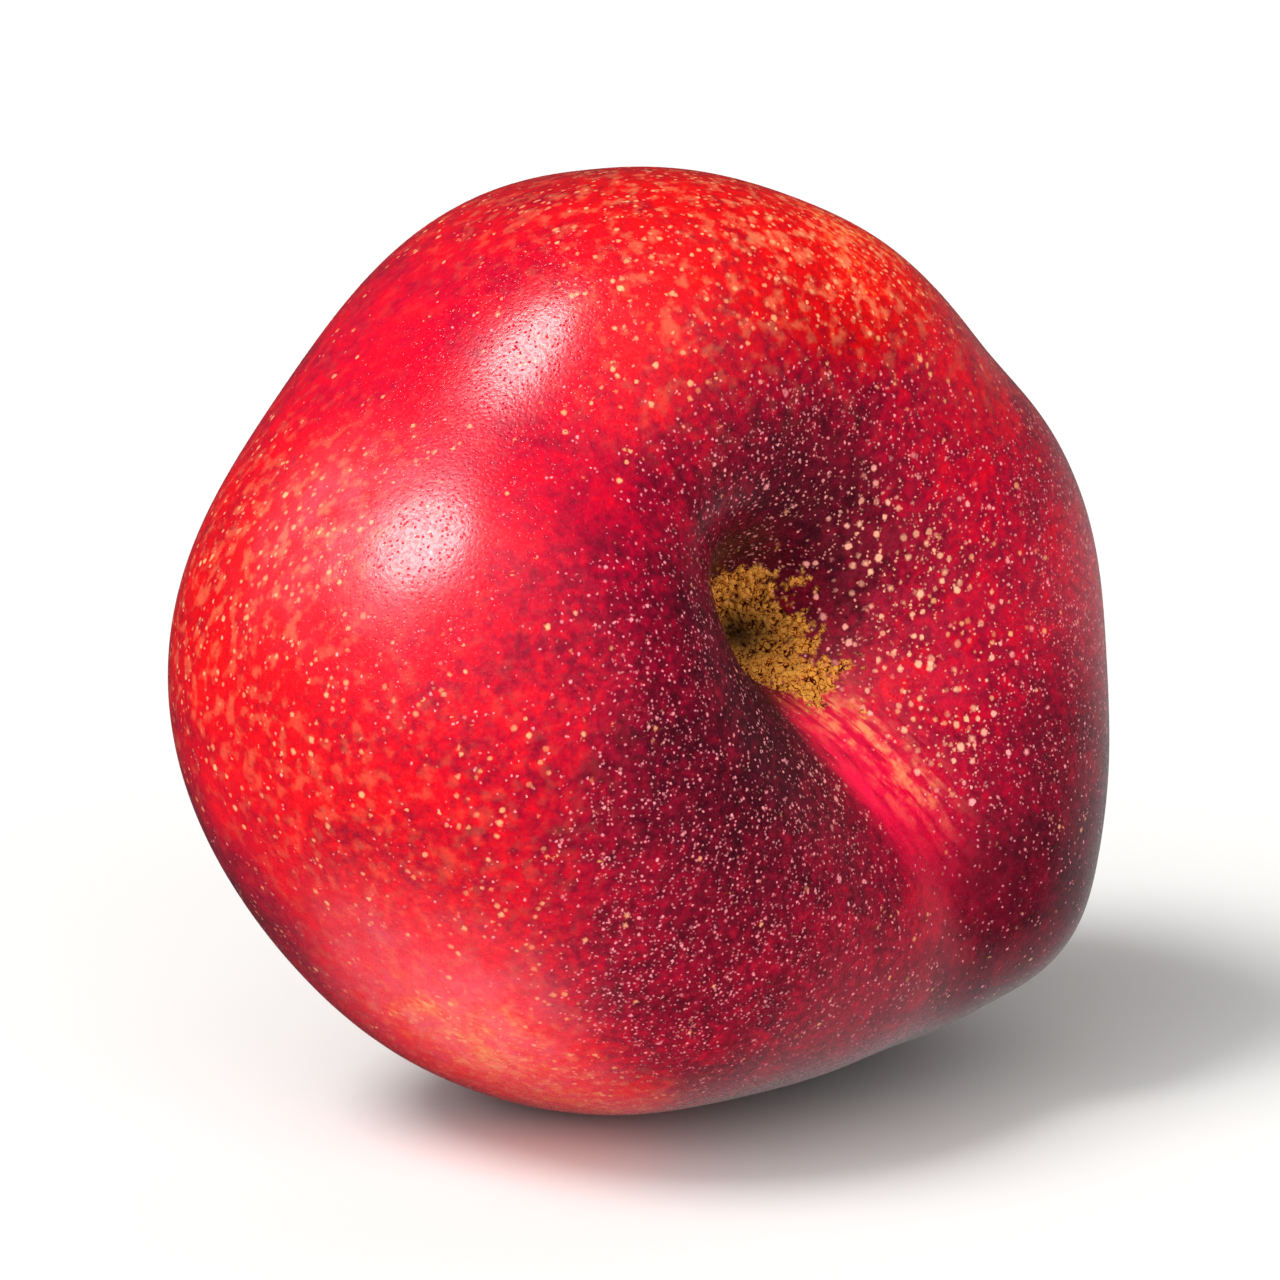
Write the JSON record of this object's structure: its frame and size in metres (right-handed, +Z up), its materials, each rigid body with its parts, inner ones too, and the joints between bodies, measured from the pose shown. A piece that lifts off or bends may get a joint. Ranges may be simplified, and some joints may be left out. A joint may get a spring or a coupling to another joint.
{
  "type": "flat nectarine",
  "caption": "Whole flat nectarine as picked: squat round fruit with a deep blossom pit, a stem scar in a hollow and a shallow suture.",
  "frame": {"origin": "centre of the small flat spot that the fruit rests on", "axes": "+Z up from the surface; -Z out of the flat spot; +Y from the front, where the blossom pit shows, to the back, the shortest side of its box; +X to the right"},
  "size_m": [0.0702, 0.0657, 0.07],
  "materials": {
    "skin": "smooth waxy fruit skin, crimson with pale freckles"
  },
  "bodies": {
    "root": {"nectarine": "skin"}
  },
  "joints": []
}
